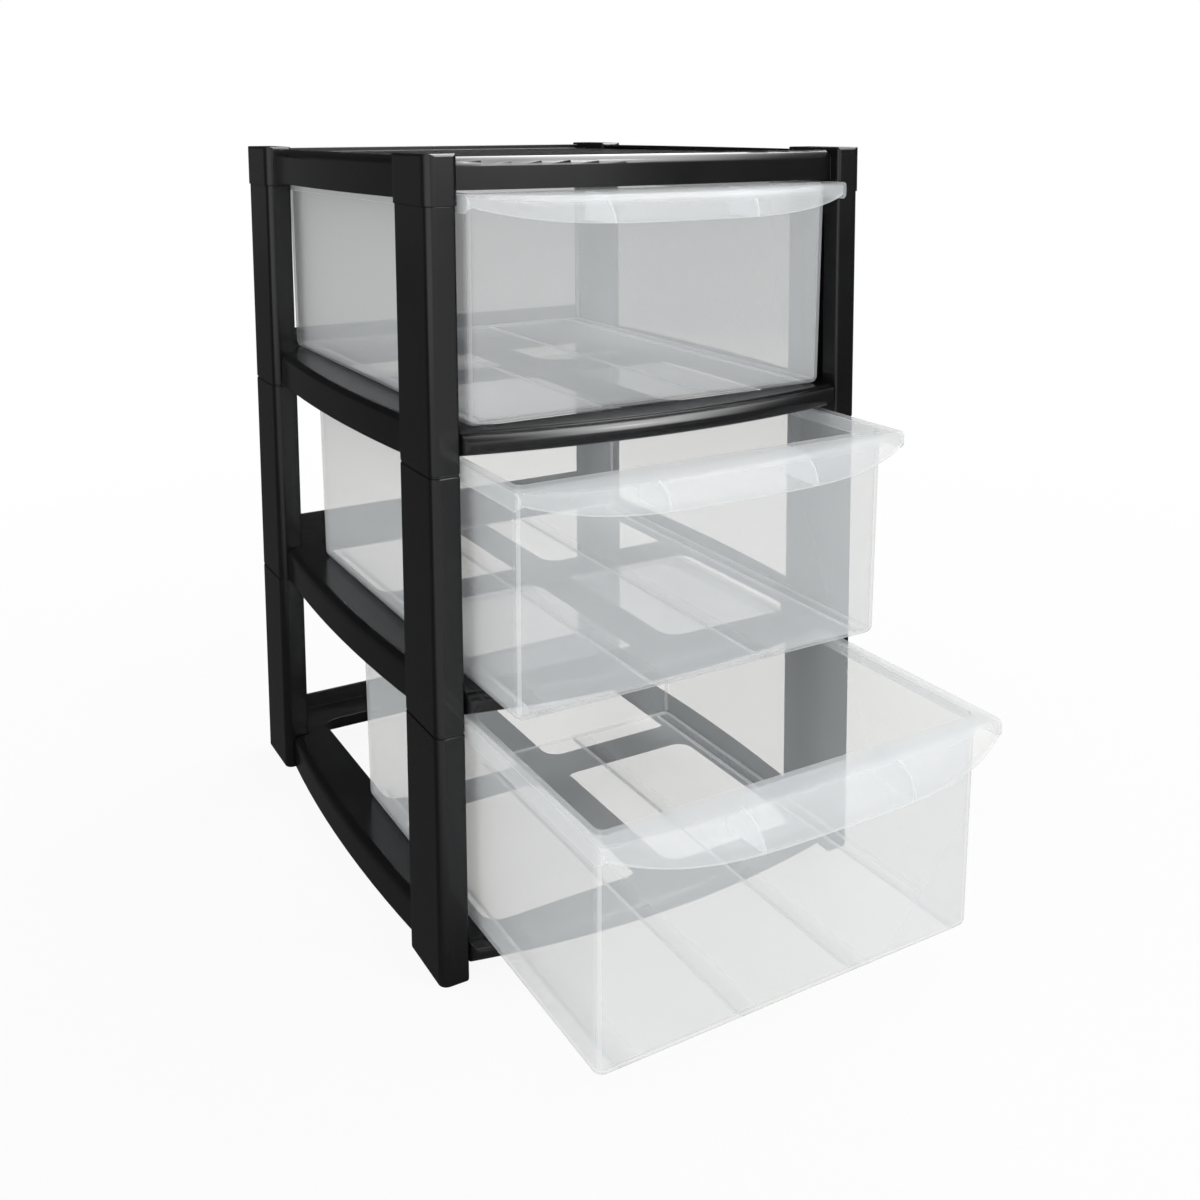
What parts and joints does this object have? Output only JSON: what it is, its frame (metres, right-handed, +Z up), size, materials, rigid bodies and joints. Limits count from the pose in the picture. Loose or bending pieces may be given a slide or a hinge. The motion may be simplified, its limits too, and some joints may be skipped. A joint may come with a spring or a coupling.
{
  "type": "plastic drawer tower",
  "caption": "Free-standing moulded drawer tower: black ring shelves on plug-in corner posts carry see-through drawers with a curved pull along the front.",
  "frame": {"origin": "on the floor, in the middle of the footprint that the tower covers with its drawers at rest (bottom centre of the bounding box)", "axes": "+X to the tower's right seen from the front, +Y to its back, +Z up; the drawers open towards -Y"},
  "size_m": [0.379, 0.6626, 0.5995],
  "materials": {
    "black_frame": "satin, moulded",
    "clear_drawer": "frosted see-through"
  },
  "bodies": {
    "frame": {"foot_post_front_left": "black_frame", "foot_post_front_right": "black_frame", "foot_post_rear_left": "black_frame", "foot_post_rear_right": "black_frame", "middle_post_front_left": "black_frame", "middle_post_front_right": "black_frame", "middle_post_rear_left": "black_frame", "middle_post_rear_right": "black_frame", "upper_post_front_left": "black_frame", "upper_post_front_right": "black_frame", "upper_post_rear_left": "black_frame", "upper_post_rear_right": "black_frame", "base_ring": "black_frame", "lower_shelf_ring": "black_frame", "upper_shelf_ring": "black_frame", "top_frame": "black_frame"},
    "drawer_bottom_body": {"drawer_bottom": "clear_drawer"},
    "drawer_middle_body": {"drawer_middle": "clear_drawer"},
    "drawer_top_body": {"drawer_top": "clear_drawer"}
  },
  "joints": [
    {"name": "drawer_bottom_slide", "type": "slide", "parent": "frame", "child": "drawer_bottom_body", "axis": [0, -1, 0], "range_m": [-0.178, 0.102]},
    {"name": "drawer_middle_slide", "type": "slide", "parent": "frame", "child": "drawer_middle_body", "axis": [0, -1, 0], "range_m": [-0.072, 0.208]},
    {"name": "drawer_top_slide", "type": "slide", "parent": "frame", "child": "drawer_top_body", "axis": [0, -1, 0], "range_m": [0, 0.28]}
  ]
}
